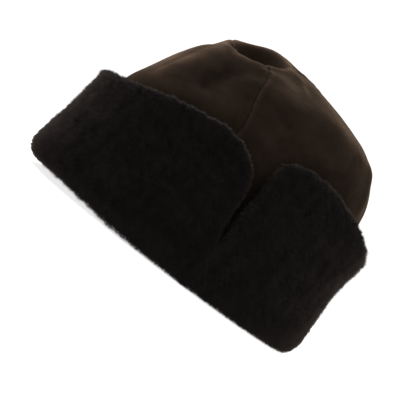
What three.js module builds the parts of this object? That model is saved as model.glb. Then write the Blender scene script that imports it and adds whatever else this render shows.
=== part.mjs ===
// A cossack hat of double-faced sheepskin: a crown of three suede gores that meet in a pinched dent on
// top, and a cuff of dark clipped fleece that is turned up all round. The cuff has two pieces: a front
// flap, and one flap that runs from ear to ear round the nape. Each cuff piece is one hide. It goes up
// inside the hat as the body wall, folds over at the rim, and stands up outside as the flap, so that the
// wool shows inside, below and outside. Millimetres, +Z up, the face looks along -Y and the wearer's left
// is +X. The rim rests on z = 0.
import * as THREE from "three";

// The free opening for the head, inside the wool.
const HEAD_LENGTH = 200;
const HEAD_WIDTH = 162;

// Heights above the surface that the rim rests on.
const CROWN_HEIGHT = 151.5; // to the middle of the dent's rolled lip
const CUFF_SEAM_HEIGHT = 58; // the gores are sewn to the body wall here, behind the flaps
const FRONT_FLAP_HEIGHT = 96; // at its tallest, above the temples
const EAR_FLAP_HEIGHT = 109; // at its tallest, above the ears
const FOLD_FLOOR = 11; // the bottom of the slot between body wall and flap
const NOTCH_HEIGHT = 34; // below this the two flaps lie edge to edge

// Thickness of the sheepskin, hide and wool together.
const BODY_WALL = 9;
const CROWN_WALL = 7.5;
const FLAP_WALL = 10;
const FOLD_GAP = 2.2; // between body wall and flap, just above the fold
const SEAM_GAP = 0.4; // between pieces that are sewn edge to edge
const FLAP_GAP = 0.6; // between the ends of the two flaps, where they lie edge to edge

// How the walls lean and how the fold is rounded.
const BODY_LEAN = 8; // the body wall leans in by this at the cuff seam
const FOLD_ROUND_IN = { across: 6, up: 11 };
const FOLD_ROUND_OUT = { across: 9.5, up: 15 };

// The split between the flaps, as a turn from the middle of the front, in degrees.
const SPLIT_AZIMUTH = 76;
const FRONT_FLAP_CORNER = 28; // radius of the front flap's upper corners
const EAR_FLAP_CORNER = 8; // radius of the ear flap's upper front corners
const FRONT_FLAP_SPREAD = -1.2; // degrees that the front flap's end moves forward, at FLAP_SPREAD_HEIGHT
const EAR_FLAP_SPREAD = 3.8; // degrees that the ear flap's end moves back, at FLAP_SPREAD_HEIGHT
const FLAP_SPREAD_HEIGHT = 70; // height above the notch at which the spreads above are reached

// The dent pressed into the top of the crown, and the soft creases round it.
const DENT = { length: 45, width: 45, depth: 17, forward: 34.5, aside: 0 };
const CREASE_DEPTH = 3.5;
const LUMP_DEPTH = 1.2; // how far the fleece swells and sinks

// The crown's oval sections, from the cuff seam to the lip of the dent, which has the dent's own size and
// place. At is the share of the way along a gore. Up is a share of the crown's rise, long and wide are shares
// of its half length and half width at the cuff seam, and back is a shift as a share of the head's length.
// Tilt is the slope up towards the back, and tip the slope up towards the wearer's right.
const CROWN_SECTIONS = [
  { at: 0.0, up: 0.0, long: 1.0, wide: 1.0, back: 0.0, tilt: 0.0, tip: 0.0 },
  { at: 0.16, up: 0.293, long: 0.987, wide: 0.97, back: 0.014, tilt: 0.01, tip: 0.0 },
  { at: 0.28, up: 0.514, long: 0.937, wide: 0.935, back: 0.038, tilt: 0.022, tip: 0.0 },
  { at: 0.38, up: 0.674, long: 0.861, wide: 0.9, back: 0.0405, tilt: 0.035, tip: 0.0 },
  { at: 0.47, up: 0.817, long: 0.762, wide: 0.85, back: 0.038, tilt: 0.045, tip: 0.018 },
  { at: 0.555, up: 0.897, long: 0.65, wide: 0.785, back: 0.013, tilt: 0.095, tip: 0.045 },
  { at: 0.64, up: 0.956, long: 0.524, wide: 0.69, back: -0.025, tilt: 0.14, tip: 0.085 },
  { at: 0.72, up: 1.004, long: 0.38, wide: 0.535, back: -0.083, tilt: 0.21, tip: 0.125 },
];
const LIP = { at: 0.81, tilt: 0.42, tip: 0.18 };

// The dent's sections, from just inside its lip to its floor, where the gores' tips meet. Down is a share of
// the dent's depth, and spread a share of its half length and half width.
const DENT_SECTIONS = [
  { at: 0.855, down: 0.26, spread: 0.86, tilt: 0.36, tip: 0.16 },
  { at: 0.92, down: 0.76, spread: 0.6, tilt: 0.2, tip: 0.1 },
  { at: 0.965, down: 0.96, spread: 0.3, tilt: 0.08, tip: 0.04 },
  { at: 1.0, down: 1.0, spread: 0.05, tilt: 0.0, tip: 0.0 },
];

// The seams between the gores: how far round from the middle of the front they run, in degrees, at the cuff
// seam, above the temple, at the shoulder, at the brow just outside the dent, at its lip and at the tip.
const SEAMS = [
  { name: "left", cuff: 64, temple: 54.6, shoulder: 46.2, brow: 53, lip: 80, tip: 80 },
  { name: "back", cuff: 180, temple: 180, shoulder: 180, brow: 176, lip: 168, tip: 168 },
  { name: "right", cuff: 296, temple: 305, shoulder: 312, brow: 309, lip: 300, tip: 300 },
];
const TEMPLE_AT = 0.3;
const SHOULDER_AT = 0.5;
const BROW_AT = 0.72;

// The crown's wall has its thickness square to its face at the first of these shares of the way along a gore,
// and straight up and down from the second on.
const SQUARE_UNTIL = 0.1;
const UPRIGHT_FROM = 0.71;

// Each gore runs from one seam to the next, and is divided across into this many steps.
const GORES = [
  { name: "crown_front_gore", from: "right", to: "left", steps: 20 },
  { name: "crown_left_gore", from: "left", to: "back", steps: 18 },
  { name: "crown_right_gore", from: "back", to: "right", steps: 18 },
];

// Soft ridges and hollows of the crown. Azimuth and width are in degrees, from and to are shares of the way
// along a gore, and rise is a share of CREASE_DEPTH: a ridge above 0, a hollow below.
const CREASES = [
  { azimuth: 0, width: 9, from: 0.2, to: 0.83, rise: 1.0 },
  { azimuth: 26, width: 14, from: 0.22, to: 0.78, rise: -1.0 },
  { azimuth: -30, width: 15, from: 0.15, to: 0.62, rise: -0.5 },
  { azimuth: 84, width: 18, from: 0.2, to: 0.75, rise: -0.35 },
  { azimuth: 128, width: 22, from: 0.58, to: 0.95, rise: 0.45 },
  { azimuth: -84, width: 20, from: 0.2, to: 0.75, rise: -0.4 },
  { azimuth: -132, width: 30, from: 0.58, to: 0.98, rise: 0.7 },
  { azimuth: 180, width: 24, from: 0.15, to: 0.6, rise: 0.4 },
];

// The flaps' top edge and lean, round from the middle of the front, which is at 0. Height is a share of
// the flap's own height. Out is a share of FLAP_WALL by which the outer face stands beyond the rim of the
// body wall at the top, and waist a share of it by which the face draws in half-way up. Lift is a share of
// FOLD_FLOOR by which the fold at the rim rises off the surface. The front flap stands higher on the
// wearer's left.
const FRONT_FLAP_EDGE = [
  { azimuth: -80, height: 0.87, out: 0.1, waist: 0.0, lift: 0.0 },
  { azimuth: -52, height: 0.86, out: 0.2, waist: 0.05, lift: 0.0 },
  { azimuth: -32, height: 0.84, out: 0.35, waist: 0.1, lift: 0.26 },
  { azimuth: -15, height: 0.84, out: 0.3, waist: 0.1, lift: 0.4 },
  { azimuth: 0, height: 0.85, out: 0.28, waist: 0.1, lift: 0.46 },
  { azimuth: 15, height: 0.875, out: 0.3, waist: 0.12, lift: 0.44 },
  { azimuth: 32, height: 0.935, out: 0.3, waist: 0.1, lift: 0.28 },
  { azimuth: 50, height: 0.99, out: 0.2, waist: 0.05, lift: 0.08 },
  { azimuth: 80, height: 1.0, out: 0.1, waist: 0.0, lift: 0.0 },
];
const EAR_FLAP_EDGE = [
  { azimuth: 76, height: 0.95, out: 0.1, waist: 0.0, lift: 0.0 },
  { azimuth: 86, height: 0.985, out: 0.08, waist: 0.0, lift: 0.0 },
  { azimuth: 97, height: 1.0, out: 0.1, waist: 0.05, lift: 0.0 },
  { azimuth: 112, height: 0.965, out: 0.35, waist: 0.15, lift: 0.0 },
  { azimuth: 126, height: 0.91, out: 0.85, waist: 0.28, lift: 0.0 },
  { azimuth: 140, height: 0.85, out: 1.25, waist: 0.4, lift: 0.0 },
  { azimuth: 156, height: 0.775, out: 1.5, waist: 0.45, lift: 0.0 },
  { azimuth: 180, height: 0.76, out: 1.45, waist: 0.45, lift: 0.0 },
  { azimuth: 204, height: 0.775, out: 1.45, waist: 0.45, lift: 0.0 },
  { azimuth: 220, height: 0.85, out: 1.3, waist: 0.4, lift: 0.0 },
  { azimuth: 234, height: 0.91, out: 0.85, waist: 0.28, lift: 0.0 },
  { azimuth: 248, height: 0.965, out: 0.35, waist: 0.15, lift: 0.0 },
  { azimuth: 263, height: 1.0, out: 0.1, waist: 0.05, lift: 0.0 },
  { azimuth: 274, height: 0.985, out: 0.08, waist: 0.0, lift: 0.0 },
  { azimuth: 284, height: 0.95, out: 0.1, waist: 0.0, lift: 0.0 },
];

// Broad swells and hollows of the fleece. Height is a share of EAR_FLAP_HEIGHT, azimuth and reach are in
// degrees, and swell is a share of LUMP_DEPTH.
const FLEECE_LUMPS = [
  { azimuth: -52, height: 0.45, reach: 16, swell: 1.0 },
  { azimuth: -24, height: 0.2, reach: 11, swell: 0.9 },
  { azimuth: -8, height: 0.52, reach: 12, swell: -0.9 },
  { azimuth: 22, height: 0.3, reach: 15, swell: 0.7 },
  { azimuth: 44, height: 0.6, reach: 14, swell: -0.8 },
  { azimuth: 63, height: 0.35, reach: 12, swell: 0.8 },
  { azimuth: 92, height: 0.7, reach: 13, swell: 0.9 },
  { azimuth: 108, height: 0.35, reach: 13, swell: -0.8 },
  { azimuth: 144, height: 0.28, reach: 15, swell: 1.9 },
  { azimuth: 160, height: 0.5, reach: 16, swell: -0.7 },
  { azimuth: 192, height: 0.3, reach: 18, swell: 0.8 },
  { azimuth: 222, height: 0.6, reach: 14, swell: -0.8 },
  { azimuth: 250, height: 0.4, reach: 15, swell: 0.9 },
  { azimuth: 272, height: 0.7, reach: 13, swell: -0.7 },
];

// How finely the surfaces are divided.
const ROWS_PER_SECTION = 2;
const FRONT_FLAP_STEPS = 34;
const EAR_FLAP_STEPS = 42;
const ROUND_STEPS = 4;
const FACE_STEPS = 5;

const SUEDE = { color: 0x2a211b, roughness: 0.85, metalness: 0 };
const FLEECE = { color: 0x141110, roughness: 1, metalness: 0 };

const radians = THREE.MathUtils.degToRad;
const lerp = THREE.MathUtils.lerp;

// Half length and half width of the body wall's outer face at the rim.
const RIM = {
  halfLength: HEAD_LENGTH / 2 + BODY_WALL,
  halfWidth: HEAD_WIDTH / 2 + BODY_WALL,
};

// A point on the oval that lies `out` beyond the body wall's rim, at a turn from the middle of the front.
function onOval(azimuth, out, z) {
  const turn = radians(azimuth);
  return new THREE.Vector3(
    (RIM.halfWidth + out) * Math.sin(turn),
    -(RIM.halfLength + out) * Math.cos(turn),
    z,
  );
}

// The shorter way round between two turns, in degrees.
function turnBetween(a, b) {
  return THREE.MathUtils.euclideanModulo(a - b + 180, 360) - 180;
}

// A value of a table's column at `at`, along smooth steps between the rows of the key column.
function fromTable(rows, key, column, at) {
  const last = rows.length - 1;
  if (at <= rows[0][key]) return rows[0][column];
  if (at >= rows[last][key]) return rows[last][column];
  const k = rows.findIndex((row, i) => at >= row[key] && at < rows[i + 1][key]);
  const before = rows[Math.max(k - 1, 0)];
  const after = rows[Math.min(k + 2, last)];
  const [a, b] = [rows[k], rows[k + 1]];
  const span = b[key] - a[key];
  const slopeA = (b[column] - before[column]) / (b[key] - before[key]);
  const slopeB = (after[column] - a[column]) / (after[key] - a[key]);
  const t = (at - a[key]) / span;
  const [t2, t3] = [t * t, t * t * t];
  return (
    (2 * t3 - 3 * t2 + 1) * a[column] +
    (t3 - 2 * t2 + t) * span * slopeA +
    (3 * t2 - 2 * t3) * b[column] +
    (t3 - t2) * span * slopeB
  );
}

// One closed solid from sections that are loops of equally many points. The end caps are lists of triangles
// over one loop's points.
function sweptSolid(loops, capTriangles) {
  const size = loops[0].length;
  const positions = loops.flat().flatMap((p) => [p.x, p.y, p.z]);
  const faces = [];
  for (let i = 0; i + 1 < loops.length; i++) {
    for (let j = 0; j < size; j++) {
      const next = (j + 1) % size;
      const [a, b] = [i * size + j, i * size + next];
      const [c, d] = [a + size, b + size];
      faces.push(a, c, d, a, d, b);
    }
  }
  const end = (loops.length - 1) * size;
  for (const [a, b, c] of capTriangles) {
    faces.push(a, b, c);
    faces.push(end + a, end + c, end + b);
  }
  const geometry = new THREE.BufferGeometry();
  geometry.setAttribute("position", new THREE.Float32BufferAttribute(positions, 3));
  geometry.setIndex(faces);
  geometry.computeVertexNormals();
  return geometry;
}

// The crown.

// All the crown's sections in millimetres, from the cuff seam over the lip to the floor of the dent.
const crownRings = [
  ...CROWN_SECTIONS.map((row) => ({
    at: row.at,
    z: lerp(CUFF_SEAM_HEIGHT + SEAM_GAP, CROWN_HEIGHT, row.up),
    halfLength: (RIM.halfLength - BODY_LEAN) * row.long,
    halfWidth: (RIM.halfWidth - BODY_LEAN) * row.wide,
    x: 0,
    y: HEAD_LENGTH * row.back,
    tilt: row.tilt,
    tip: row.tip,
  })),
  ...[{ ...LIP, down: 0, spread: 1 }, ...DENT_SECTIONS].map((row) => ({
    at: row.at,
    z: CROWN_HEIGHT - DENT.depth * row.down,
    halfLength: (DENT.length / 2) * row.spread,
    halfWidth: (DENT.width / 2) * row.spread,
    x: DENT.aside,
    y: -DENT.forward,
    tilt: row.tilt,
    tip: row.tip,
  })),
];

// The crown before creases, at a turn from the front and a share of the way along a gore.
function crownDome(azimuth, at) {
  const ring = (column) => fromTable(crownRings, "at", column, at);
  const turn = radians(azimuth);
  const aside = ring("halfWidth") * Math.sin(turn);
  const behind = -ring("halfLength") * Math.cos(turn);
  return new THREE.Vector3(
    ring("x") + aside,
    ring("y") + behind,
    ring("z") + behind * ring("tilt") - aside * ring("tip"),
  );
}

// The way through the crown's wall: square to the wall low down, and straight down over the top.
function throughWall(azimuth, at) {
  const step = 1e-3;
  const up = crownDome(azimuth, Math.min(at + step, 1)).sub(crownDome(azimuth, Math.max(at - step, 0)));
  const along = crownDome(azimuth + 1, at).sub(crownDome(azimuth - 1, at));
  const normal = along.cross(up).normalize();
  if (at === 0) normal.setZ(0).normalize(); // the lowest edge is cut level, to meet the body wall
  const upright = THREE.MathUtils.smoothstep(at, SQUARE_UNTIL, UPRIGHT_FROM);
  return normal.lerp(new THREE.Vector3(0, 0, 1), upright).normalize();
}

function creaseAt(azimuth, at) {
  return CREASES.reduce((sum, crease) => {
    const along = (at - crease.from) / (crease.to - crease.from);
    if (along <= 0 || along >= 1) return sum;
    const aside = turnBetween(azimuth, crease.azimuth) / crease.width;
    return sum + CREASE_DEPTH * crease.rise * Math.exp(-aside * aside) * Math.sin(Math.PI * along) ** 2;
  }, 0);
}

// A point of a gore, `inward` below the suede.
function crownPoint(azimuth, at, inward) {
  return crownDome(azimuth, at).addScaledVector(throughWall(azimuth, at), creaseAt(azimuth, at) - inward);
}

// Where a seam runs, moved aside by half the seam's gap.
function seamAzimuth(seam, at, side) {
  const path = [
    { at: 0, turn: seam.cuff },
    { at: TEMPLE_AT, turn: seam.temple },
    { at: SHOULDER_AT, turn: seam.shoulder },
    { at: BROW_AT, turn: seam.brow },
    { at: LIP.at, turn: seam.lip },
    { at: 1, turn: seam.tip },
  ];
  const radius = Math.min(
    fromTable(crownRings, "at", "halfLength", at),
    fromTable(crownRings, "at", "halfWidth", at),
  );
  return fromTable(path, "at", "turn", at) + side * THREE.MathUtils.radToDeg(SEAM_GAP / 2 / radius);
}

function goreGeometry(gore) {
  const start = SEAMS.find((seam) => seam.name === gore.from);
  const end = SEAMS.find((seam) => seam.name === gore.to);
  const rows = crownRings.slice(1).flatMap((ring, k) => {
    const below = crownRings[k];
    return Array.from({ length: ROWS_PER_SECTION }, (_, s) => lerp(below.at, ring.at, s / ROWS_PER_SECTION));
  });
  rows.push(1);
  const loops = [];
  for (let i = 0; i <= gore.steps; i++) {
    const azimuthAt = (at) => {
      const a = seamAzimuth(start, at, 1);
      const b = seamAzimuth(end, at, -1);
      return a + THREE.MathUtils.euclideanModulo(b - a, 360) * (i / gore.steps);
    };
    const suede = rows.map((at) => crownPoint(azimuthAt(at), at, 0));
    const wool = rows.map((at) => crownPoint(azimuthAt(at), at, lerp(BODY_WALL, CROWN_WALL, at)));
    loops.push([...suede, ...wool.reverse()]);
  }
  const last = 2 * rows.length - 1;
  const cap = [];
  for (let j = 0; j + 1 < rows.length; j++) {
    cap.push([j, j + 1, last - j - 1], [j, last - j - 1, last - j]);
  }
  return sweptSolid(loops, cap);
}

// The cuff.

// How far the body wall leans in at a height.
function bodyLean(z) {
  return -BODY_LEAN * (z / CUFF_SEAM_HEIGHT);
}

// Points of a quarter turn of an oval arc in the section's plane, from one angle to another, in degrees.
function roundTo(centre, across, up, from, to) {
  return Array.from({ length: ROUND_STEPS + 1 }, (_, k) => {
    const turn = radians(lerp(from, to, k / ROUND_STEPS));
    return [centre[0] + across * Math.cos(turn), centre[1] + up * Math.sin(turn)];
  });
}

function lumpAt(azimuth, z) {
  return FLEECE_LUMPS.reduce((sum, lump) => {
    const aside = turnBetween(azimuth, lump.azimuth) / lump.reach;
    const above = (z - lump.height * EAR_FLAP_HEIGHT) / (RIM.halfWidth * radians(lump.reach));
    return sum + LUMP_DEPTH * lump.swell * Math.exp(-aside * aside - above * above);
  }, 0);
}

// The loop of a cuff piece at one turn: [out from the rim of the body wall, height] for each point, from the
// top of the body wall down its woolly side, round the fold, up the flap, over its edge and down the slot.
// The flap leans as its full height says, and ends at its cut height. Its own points carry a third value, how
// far they stand above the notch, as a share of FLAP_SPREAD_HEIGHT.
function cuffSection(azimuth, fullHeight, cutHeight, out, waist, lift) {
  const flapOut = FOLD_GAP + FLAP_WALL;
  const edge = FLAP_WALL / 2;
  const top = cutHeight - edge;
  const outerAt = (z) => {
    const t = (z - FOLD_ROUND_OUT.up) / (fullHeight - edge - FOLD_ROUND_OUT.up);
    return lerp(flapOut, out, t) - waist * Math.sin(Math.PI * t) + lumpAt(azimuth, z) * Math.sin(Math.PI * t);
  };
  const faceHeights = [];
  for (let k = 0; k <= FACE_STEPS; k++) {
    faceHeights.push(lerp(FOLD_ROUND_OUT.up, top, k / FACE_STEPS));
  }
  const bodyHeights = [CUFF_SEAM_HEIGHT, lerp(CUFF_SEAM_HEIGHT, FOLD_ROUND_IN.up, 0.5)];
  const upIn = FOLD_ROUND_IN.up - lift;
  const upOut = FOLD_ROUND_OUT.up - lift;
  const foldIn = [bodyLean(FOLD_ROUND_IN.up) - BODY_WALL + FOLD_ROUND_IN.across, FOLD_ROUND_IN.up];
  const foldOut = [flapOut - FOLD_ROUND_OUT.across, FOLD_ROUND_OUT.up];
  const slotIn = bodyLean(FOLD_FLOOR);
  const flap = [
    ...faceHeights.map((z) => [outerAt(z), z]),
    ...roundTo([outerAt(top) - edge, top], edge, edge, 0, 180).slice(1, -1),
    ...faceHeights.map((z) => [outerAt(z) - FLAP_WALL, z]).reverse(),
  ];
  return [
    ...bodyHeights.map((z) => [bodyLean(z) - BODY_WALL, z]),
    ...roundTo(foldIn, FOLD_ROUND_IN.across, upIn, 180, 270),
    ...roundTo(foldOut, FOLD_ROUND_OUT.across, upOut, 270, 360).slice(0, -1),
    ...flap.map(([x, z]) => [x, z, Math.max(0, z - NOTCH_HEIGHT) / FLAP_SPREAD_HEIGHT]),
    [lerp(slotIn, flapOut - FLAP_WALL, 0.5), FOLD_FLOOR],
    ...bodyHeights.map((z) => [bodyLean(z), z]).reverse(),
  ];
}

// The height of a flap's edge near its end: a quarter circle of the corner's radius.
function roundedCorner(height, fromEnd, radius) {
  const inside = THREE.MathUtils.clamp(radius - fromEnd, 0, radius);
  return height - (radius - Math.sqrt(radius * radius - inside * inside));
}

// A cuff piece from one azimuth to another. The ends spread with height above the notch, by `spread` degrees.
function cuffGeometry(from, to, steps, edge, flapHeight, corner, spread) {
  const arcPerDegree = radians(1) * (RIM.halfWidth + FLAP_WALL);
  const loops = [];
  let section;
  for (let i = 0; i <= steps; i++) {
    const share = 0.5 - 0.5 * Math.cos((Math.PI * i) / steps); // the steps crowd towards both ends
    const azimuth = lerp(from, to, share);
    const toEnd = Math.min(azimuth - from, to - azimuth) * arcPerDegree;
    const row = (column) => fromTable(edge, "azimuth", column, azimuth);
    const fullHeight = flapHeight * row("height");
    const cutHeight = roundedCorner(fullHeight, toEnd, corner);
    const out = FLAP_WALL * row("out");
    const lift = Math.max(0, FOLD_FLOOR * row("lift"));
    section = cuffSection(azimuth, fullHeight, cutHeight, out, FLAP_WALL * row("waist"), lift);
    const towardsEnd = 2 * share - 1;
    loops.push(section.map(([x, z, above = 0]) => onOval(azimuth + spread * above * towardsEnd, x, z)));
  }
  const outline = section.map(([x, z]) => new THREE.Vector2(x, z));
  return sweptSolid(loops, THREE.ShapeUtils.triangulateShape(outline, []));
}

// The hat.

function namedMesh(name, geometry, finish) {
  const mesh = new THREE.Mesh(geometry, new THREE.MeshStandardMaterial(finish));
  mesh.name = name;
  return mesh;
}

const hat = new THREE.Group();

for (const gore of GORES) {
  hat.add(namedMesh(gore.name, goreGeometry(gore), SUEDE));
}

const endGap = THREE.MathUtils.radToDeg(FLAP_GAP / 2 / RIM.halfWidth);
const frontEnd = SPLIT_AZIMUTH - endGap;
const earEnd = SPLIT_AZIMUTH + endGap;

hat.add(
  namedMesh(
    "front_flap",
    cuffGeometry(
      -frontEnd,
      frontEnd,
      FRONT_FLAP_STEPS,
      FRONT_FLAP_EDGE,
      FRONT_FLAP_HEIGHT,
      FRONT_FLAP_CORNER,
      FRONT_FLAP_SPREAD,
    ),
    FLEECE,
  ),
);

hat.add(
  namedMesh(
    "ear_and_nape_flap",
    cuffGeometry(
      earEnd,
      360 - earEnd,
      EAR_FLAP_STEPS,
      EAR_FLAP_EDGE,
      EAR_FLAP_HEIGHT,
      EAR_FLAP_CORNER,
      -EAR_FLAP_SPREAD,
    ),
    FLEECE,
  ),
);

// The origin goes to the middle of the hat's outline.
const middle = new THREE.Box3().setFromObject(hat).getCenter(new THREE.Vector3());
hat.position.set(-middle.x, -middle.y, 0);

export default hat;
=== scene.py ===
# %% [markdown]
# A cossack hat in double-faced sheepskin
#
# The hat is hide all through: three panels with the suede side out make the crown, and two turned-up pieces
# with the wool side out make the cuff. The frame gives plain solids of the right size. Here each of them
# becomes a soft skin with its own relief, and the wool grows on it as fine locks. Lengths in this script
# are in millimetres until the last moment, when a mesh is written in metres.

# %% Load the frame
import math

import bmesh
import bpy
import numpy as np
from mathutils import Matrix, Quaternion, Vector
from mathutils.bvhtree import BVHTree


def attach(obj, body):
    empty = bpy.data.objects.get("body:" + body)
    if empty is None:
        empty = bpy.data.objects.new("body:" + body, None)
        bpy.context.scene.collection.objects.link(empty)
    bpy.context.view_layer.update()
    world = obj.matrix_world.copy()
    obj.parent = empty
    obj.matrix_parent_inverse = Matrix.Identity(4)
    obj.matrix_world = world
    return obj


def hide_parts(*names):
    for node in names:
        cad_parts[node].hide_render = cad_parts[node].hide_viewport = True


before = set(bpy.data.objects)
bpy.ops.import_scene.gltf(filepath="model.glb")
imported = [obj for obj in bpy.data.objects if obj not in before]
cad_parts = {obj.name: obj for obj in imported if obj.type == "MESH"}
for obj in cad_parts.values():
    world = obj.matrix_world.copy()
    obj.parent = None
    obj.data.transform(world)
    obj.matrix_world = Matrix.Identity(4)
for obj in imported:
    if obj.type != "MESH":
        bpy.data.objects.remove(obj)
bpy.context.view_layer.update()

MM = 0.001

# %% [markdown]
# Camera
#
# The hat was photographed level, from about 60 degrees round from its front, and the picture was turned so
# that the hat leans over to the right. The hat could be tilted to match, but it has to stand on its rim. So
# the camera does it instead: it stands level with the cuff and rolls about its own line of sight.

# %% Place the camera
VIEW_AZIMUTH = 60  # degrees from the front of the hat towards the wearer's left
VIEW_DISTANCE = 850
VIEW_HEIGHT = 49
VIEW_ASIDE = -2.4  # the middle of the picture lies this far to the right of the hat's axis
ROLL = 38  # degrees that the hat leans to the right in the picture
PICTURE_WIDTH = 400
MM_PER_PIXEL = 0.694  # at the hat's axis
SENSOR = 36
SIGHT = 50000  # far enough for the edge of the floor

towards_camera = Vector((math.sin(math.radians(VIEW_AZIMUTH)), -math.cos(math.radians(VIEW_AZIMUTH)), 0))
to_the_right = Vector((-towards_camera.y, towards_camera.x, 0))
aim = to_the_right * VIEW_ASIDE + Vector((0, 0, VIEW_HEIGHT))

camera = bpy.data.objects.new("camera", bpy.data.cameras.new("camera"))
bpy.context.collection.objects.link(camera)
camera.data.sensor_width = SENSOR
camera.data.lens = SENSOR * VIEW_DISTANCE / (PICTURE_WIDTH * MM_PER_PIXEL)
camera.data.clip_end = SIGHT * MM
camera.location = (aim + towards_camera * VIEW_DISTANCE) * MM
camera.rotation_mode = "QUATERNION"
upright = towards_camera.to_track_quat("Z", "Y")
camera.rotation_quaternion = upright @ Quaternion((0, 0, 1), math.radians(ROLL))
bpy.context.scene.camera = camera
print("lens %.1f mm, camera at %s" % (camera.data.lens, [round(v, 3) for v in camera.location]))

# %% [markdown]
# Helpers for colour and nodes
#
# Colours are written as they look on a screen and turned to light values by one function, whose numbers are
# those of the sRGB standard. Another small function adds a node, sets it up and links what feeds it.

# %% Colour and node helpers
def light_value(screen_hex):
    """A screen colour such as "#2a211b" as linear red, green, blue and alpha."""
    channels = [int(screen_hex[i:i + 2], 16) / 255 for i in (1, 3, 5)]
    return [c / 12.92 if c <= 0.04045 else ((c + 0.055) / 1.055) ** 2.4 for c in channels] + [1]


def add_node(tree, kind, feeds=None, **settings):
    """One node, with its settings, and with values or other nodes' sockets fed to its inputs by name."""
    node = tree.nodes.new("ShaderNode" + kind)
    for name, value in settings.items():
        setattr(node, name, value)
    for name, value in (feeds or {}).items():
        if isinstance(value, bpy.types.NodeSocket):
            tree.links.new(value, node.inputs[name])
        else:
            node.inputs[name].default_value = value
    return node


def new_material(name):
    """A material without any node yet, and its node tree."""
    material = bpy.data.materials.new(name)
    material.use_nodes = True
    material.node_tree.nodes.clear()
    return material, material.node_tree


# %% [markdown]
# Suede
#
# Suede is the flesh side of the hide, sanded to a short nap. It has no gloss. The nap scatters light at
# grazing angles, so edges and ridges look paler than the faces, and where it has been brushed or rubbed it
# shows soft cloudy patches. A picture of suede could be wrapped round the panels, but it would stretch
# over the dent, so the patterns are noise at real sizes. There are three: clouds of 20 to 30 mm, rubbed
# flecks of 2 to 3 mm, and the nap itself, drawn at half a millimetre, which is coarser than the real one
# so that it shows. A paler worn colour is mixed in by a value at each point of the panels. Part of it is
# real wear in soft random patches, and part is painted highlight: on ridges, folds, the dent's rim, the
# seams' rolls and the front towards the wearer's right it stands in for light that catches them. Painted
# shade takes it away in the hollow beside the front ridge and on the suede low down behind the flaps.

# %% Suede of brushed sheepskin
CLOUD = 26
FLECK = 2.6
FLECK_DEPTH = 0.5
NAP = 0.55
NAP_DEPTH = 0.35


def brushed_suede(name, dark, pale, worn_and_lit):
    """Matt sanded hide: soft clouds, flecks, paler with wear and painted highlight, and a nap that catches
    light.
    """
    material, tree = new_material(name)
    place = add_node(tree, "TexCoord").outputs["Object"]
    clouds = add_node(
        tree,
        "TexNoise",
        {"Vector": place, "Scale": 1 / (CLOUD * MM), "Detail": 3.0, "Roughness": 0.6},
    )
    flecks = add_node(
        tree,
        "TexNoise",
        {"Vector": place, "Scale": 1 / (FLECK * MM), "Detail": 4.0, "Roughness": 0.65},
    )
    nap = add_node(
        tree,
        "TexNoise",
        {"Vector": place, "Scale": 1 / (NAP * MM), "Detail": 2.0, "Roughness": 0.6},
    )
    both = add_node(
        tree,
        "MixRGB",
        {"Fac": 0.45, "Color1": clouds.outputs["Fac"], "Color2": flecks.outputs["Fac"]},
    )
    spread = add_node(
        tree,
        "MapRange",
        {"Value": both.outputs["Color"], "From Min": 0.32, "From Max": 0.68},
    )
    colour = add_node(
        tree,
        "MixRGB",
        {"Fac": spread.outputs["Result"], "Color1": light_value(dark), "Color2": light_value(pale)},
    )
    # The paler colour mixed in here is partly real wear and partly painted highlight, less where painted
    # shade is.
    wear_and_painted_light = add_node(tree, "Attribute", attribute_name="wear_and_painted_light").outputs["Fac"]
    worn_and_lit_colour = add_node(
        tree,
        "MixRGB",
        {"Fac": wear_and_painted_light, "Color1": colour.outputs["Color"], "Color2": light_value(worn_and_lit)},
    )
    coarse = add_node(
        tree,
        "Bump",
        {"Strength": 0.35, "Distance": FLECK_DEPTH * MM, "Height": flecks.outputs["Fac"]},
    )
    fine = add_node(
        tree,
        "Bump",
        {
            "Strength": 0.5,
            "Distance": NAP_DEPTH * MM,
            "Height": nap.outputs["Fac"],
            "Normal": coarse.outputs["Normal"],
        },
    )
    surface = add_node(
        tree,
        "BsdfPrincipled",
        {
            "Base Color": worn_and_lit_colour.outputs["Color"],
            "Roughness": 0.95,
            "Specular IOR Level": 0.0,
            "Sheen Weight": 0.3,
            "Sheen Roughness": 0.25,
            "Sheen Tint": light_value("#a88f79"),
            "Normal": fine.outputs["Normal"],
        },
    )
    add_node(tree, "OutputMaterial", {"Surface": surface.outputs["BSDF"]})
    return material


# The worn colour is that of worn suede, and also the painted highlight on ridges, folds, rims and the front.
suede = brushed_suede("brushed sheepskin suede", dark="#110d0a", pale="#18130e", worn_and_lit="#44372e")
print("material:", suede.name)

# %% [markdown]
# Wool
#
# The cuff is lamb's wool clipped short, dyed almost black. From close by it is a crowd of fine locks with
# paler, slightly brown tips. From further off the gaps between the locks look black, and the outline is a
# soft fuzz. Blender's hair would be the usual way, but it isn't a mesh, and the exported model needs one.
# So the locks are real thin spikes of mesh. Each point of them knows how near the tip it is, and each lock
# has its own shade, and the material reads both. Between the locks the skin shows, with the wool's curl of
# about 1.5 mm as a bump.

# %% Clipped wool, on the locks and on the skin under them
CURL = 1.5
CURL_DEPTH = 0.8


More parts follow.
